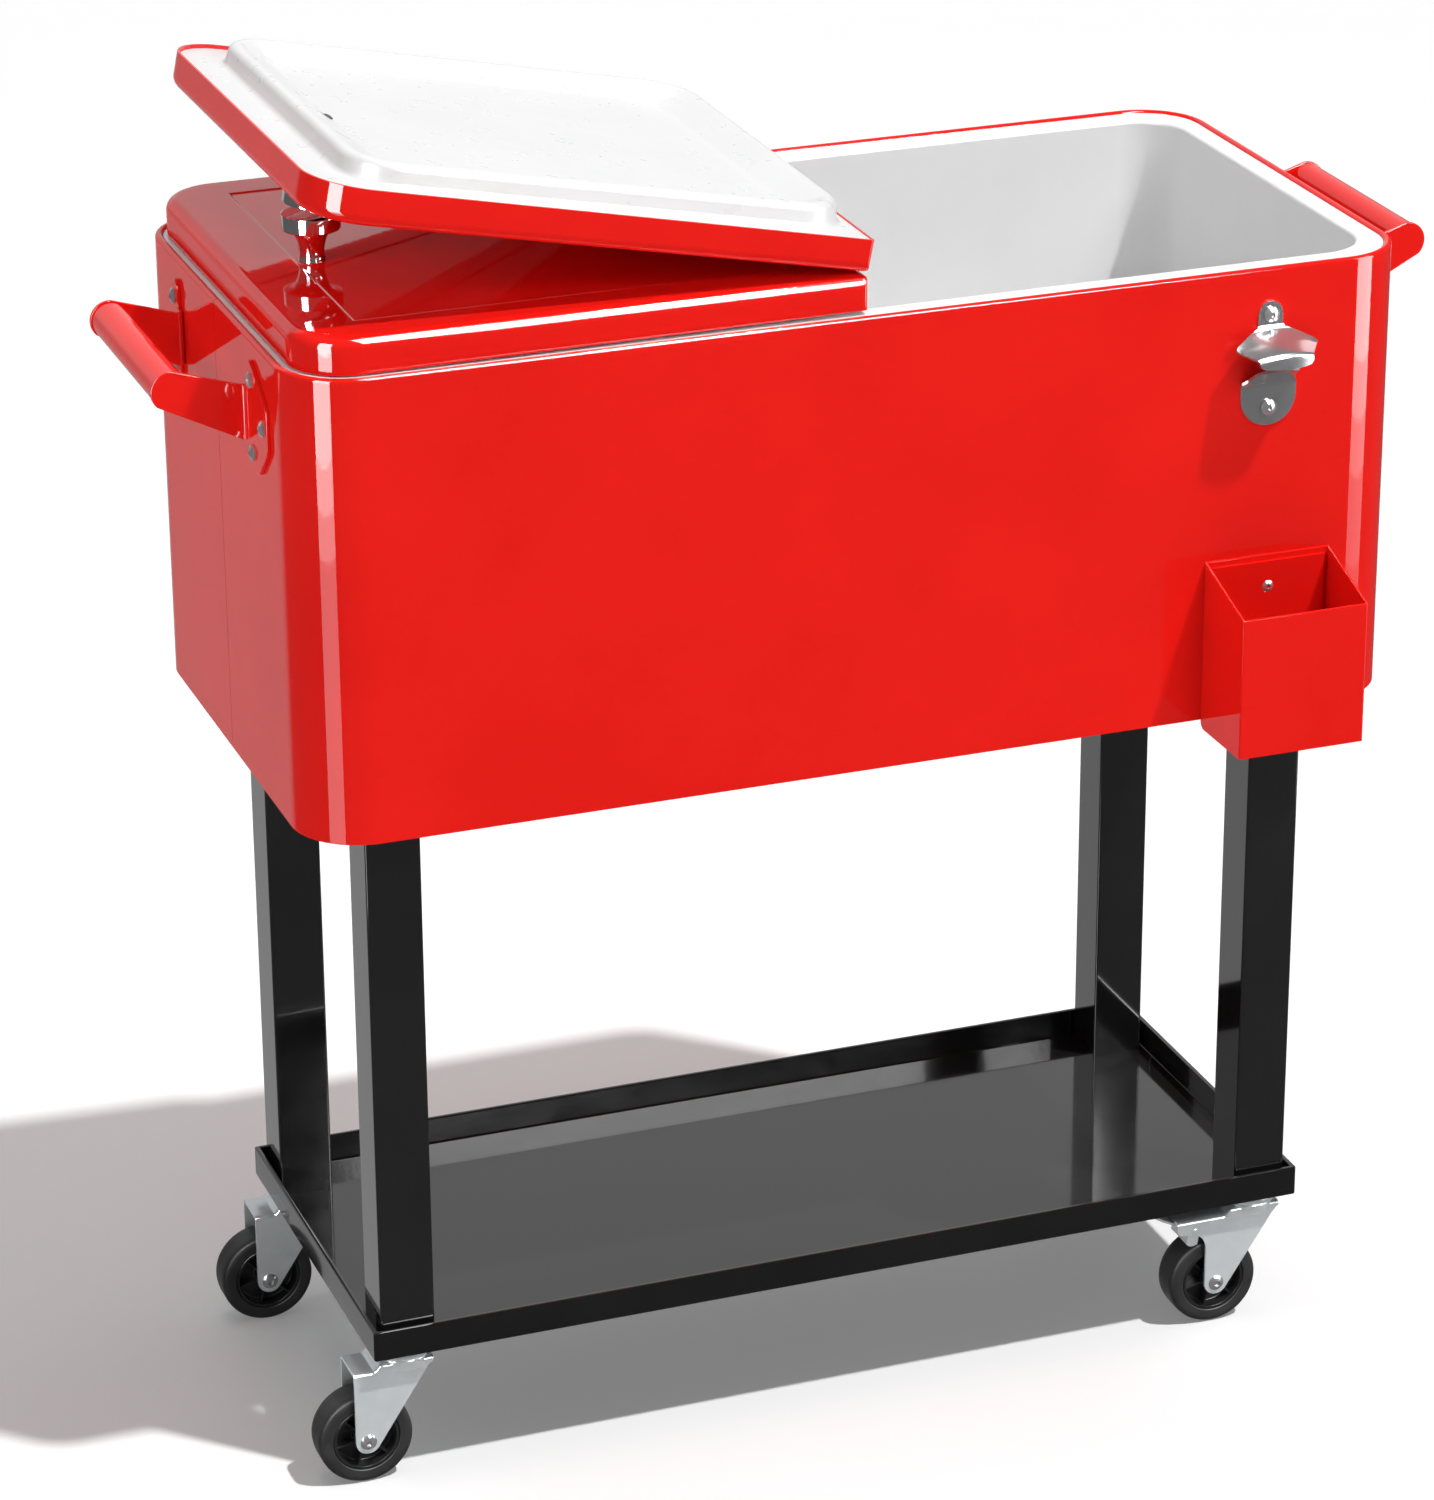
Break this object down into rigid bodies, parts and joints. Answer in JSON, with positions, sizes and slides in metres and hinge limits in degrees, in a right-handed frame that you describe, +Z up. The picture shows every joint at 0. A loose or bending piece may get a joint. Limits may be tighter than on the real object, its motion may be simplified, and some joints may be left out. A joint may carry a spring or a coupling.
{
  "type": "cooler on wheels",
  "caption": "Patio cooler cart: insulated steel tub with two folding lids, end handles, bottle opener and cap catcher on a tray-shelf stand with swivel casters.",
  "frame": {"origin": "on the floor, under the middle of the cart's whole extent", "axes": "+X along the tub, with the opener and the brake casters at its +X end; the front faces -Y; +Z up"},
  "size_m": [0.874, 0.426, 0.918],
  "materials": {
    "red": "gloss",
    "white": "gloss",
    "black": "gloss",
    "zinc": "bright zinc plate",
    "steel": "brushed",
    "chrome": "polished",
    "foam": "rigid foam",
    "rubber": "matte",
    "wheel_plastic": "satin"
  },
  "bodies": {
    "cart": {"tub_shell_front": "red", "tub_shell_back": "red", "seam_straps": "zinc", "tub_floor": "red", "inner_liner": "white", "insulation": "foam", "drain_fitting": "steel", "drain_gasket": "rubber", "drain_nut": "steel", "handle_grip_left": "red", "handle_grip_right": "red", "handle_arms_left": "red", "handle_arms_right": "red", "handle_bolts": "zinc", "bottle_opener": "steel", "opener_bolts": "zinc", "cap_catcher": "red", "catcher_screw": "zinc", "leg_front_left": "black", "leg_front_right": "black", "leg_back_left": "black", "leg_back_right": "black", "leg_plates": "black", "leg_bolts": "zinc", "leg_inserts": "steel", "tray_shelf": "black", "caster_kingpins": "zinc", "swivel_balls": "steel"},
    "left_lid": {"left_lid_skin": "red", "left_lid_liner": "white", "left_lid_foam": "foam", "left_knob": "chrome", "left_knob_screw": "steel", "left_hinge_leaf": "steel", "hinge_pin": "steel", "hinge_rivets_left": "steel"},
    "right_lid": {"right_lid_skin": "red", "right_lid_liner": "white", "right_lid_foam": "foam", "right_knob": "chrome", "right_knob_screw": "steel", "right_hinge_leaf": "steel", "hinge_rivets_right": "steel"},
    "swivel_front_left": {"fork_front_left": "zinc", "axle_front_left": "zinc"},
    "roller_front_left": {"wheel_front_left": "wheel_plastic"},
    "swivel_front_right": {"fork_front_right": "zinc", "axle_front_right": "zinc"},
    "roller_front_right": {"wheel_front_right": "wheel_plastic"},
    "brake_front": {"brake_pedal_front": "zinc"},
    "swivel_back_left": {"fork_back_left": "zinc", "axle_back_left": "zinc"},
    "roller_back_left": {"wheel_back_left": "wheel_plastic"},
    "swivel_back_right": {"fork_back_right": "zinc", "axle_back_right": "zinc"},
    "roller_back_right": {"wheel_back_right": "wheel_plastic"},
    "brake_back": {"brake_pedal_back": "zinc"},
    "drain_plug": {"drain_cap": "rubber"}
  },
  "joints": [
    {"name": "left_lid_fold", "type": "hinge", "parent": "cart", "child": "left_lid", "pos_m": [0, 0.03, 0.815], "axis": [0, 1, 0], "range_deg": [0, 168.42]},
    {"name": "right_lid_fold", "type": "hinge", "parent": "left_lid", "child": "right_lid", "pos_m": [0, 0.03, 0.815], "axis": [0, -1, 0], "range_deg": [-168.42, 0]},
    {"name": "swivel_front_left", "type": "hinge", "parent": "cart", "child": "swivel_front_left", "pos_m": [-0.3095, -0.0895, 0.087], "axis": [0, 0, 1], "continuous": true},
    {"name": "roll_front_left", "type": "hinge", "parent": "swivel_front_left", "child": "roller_front_left", "pos_m": [-0.3385, -0.0895, 0.0325], "axis": [0, 1, 0], "continuous": true},
    {"name": "swivel_front_right", "type": "hinge", "parent": "cart", "child": "swivel_front_right", "pos_m": [0.3095, -0.0895, 0.087], "axis": [0, 0, 1], "continuous": true},
    {"name": "roll_front_right", "type": "hinge", "parent": "swivel_front_right", "child": "roller_front_right", "pos_m": [0.2805, -0.0895, 0.0325], "axis": [0, 1, 0], "continuous": true},
    {"name": "brake_front_press", "type": "hinge", "parent": "swivel_front_right", "child": "brake_front", "pos_m": [0.2635, -0.0895, 0.076], "axis": [0, -1, 0], "range_deg": [0, 20]},
    {"name": "swivel_back_left", "type": "hinge", "parent": "cart", "child": "swivel_back_left", "pos_m": [-0.3095, 0.1495, 0.087], "axis": [0, 0, 1], "continuous": true},
    {"name": "roll_back_left", "type": "hinge", "parent": "swivel_back_left", "child": "roller_back_left", "pos_m": [-0.3385, 0.1495, 0.0325], "axis": [0, 1, 0], "continuous": true},
    {"name": "swivel_back_right", "type": "hinge", "parent": "cart", "child": "swivel_back_right", "pos_m": [0.3095, 0.1495, 0.087], "axis": [0, 0, 1], "continuous": true},
    {"name": "roll_back_right", "type": "hinge", "parent": "swivel_back_right", "child": "roller_back_right", "pos_m": [0.2805, 0.1495, 0.0325], "axis": [0, 1, 0], "continuous": true},
    {"name": "brake_back_press", "type": "hinge", "parent": "swivel_back_right", "child": "brake_back", "pos_m": [0.2635, 0.1495, 0.076], "axis": [0, -1, 0], "range_deg": [0, 20]},
    {"name": "drain_cap_off", "type": "slide", "parent": "cart", "child": "drain_plug", "axis": [0, 0, -1], "range_m": [0, 0.02]}
  ]
}
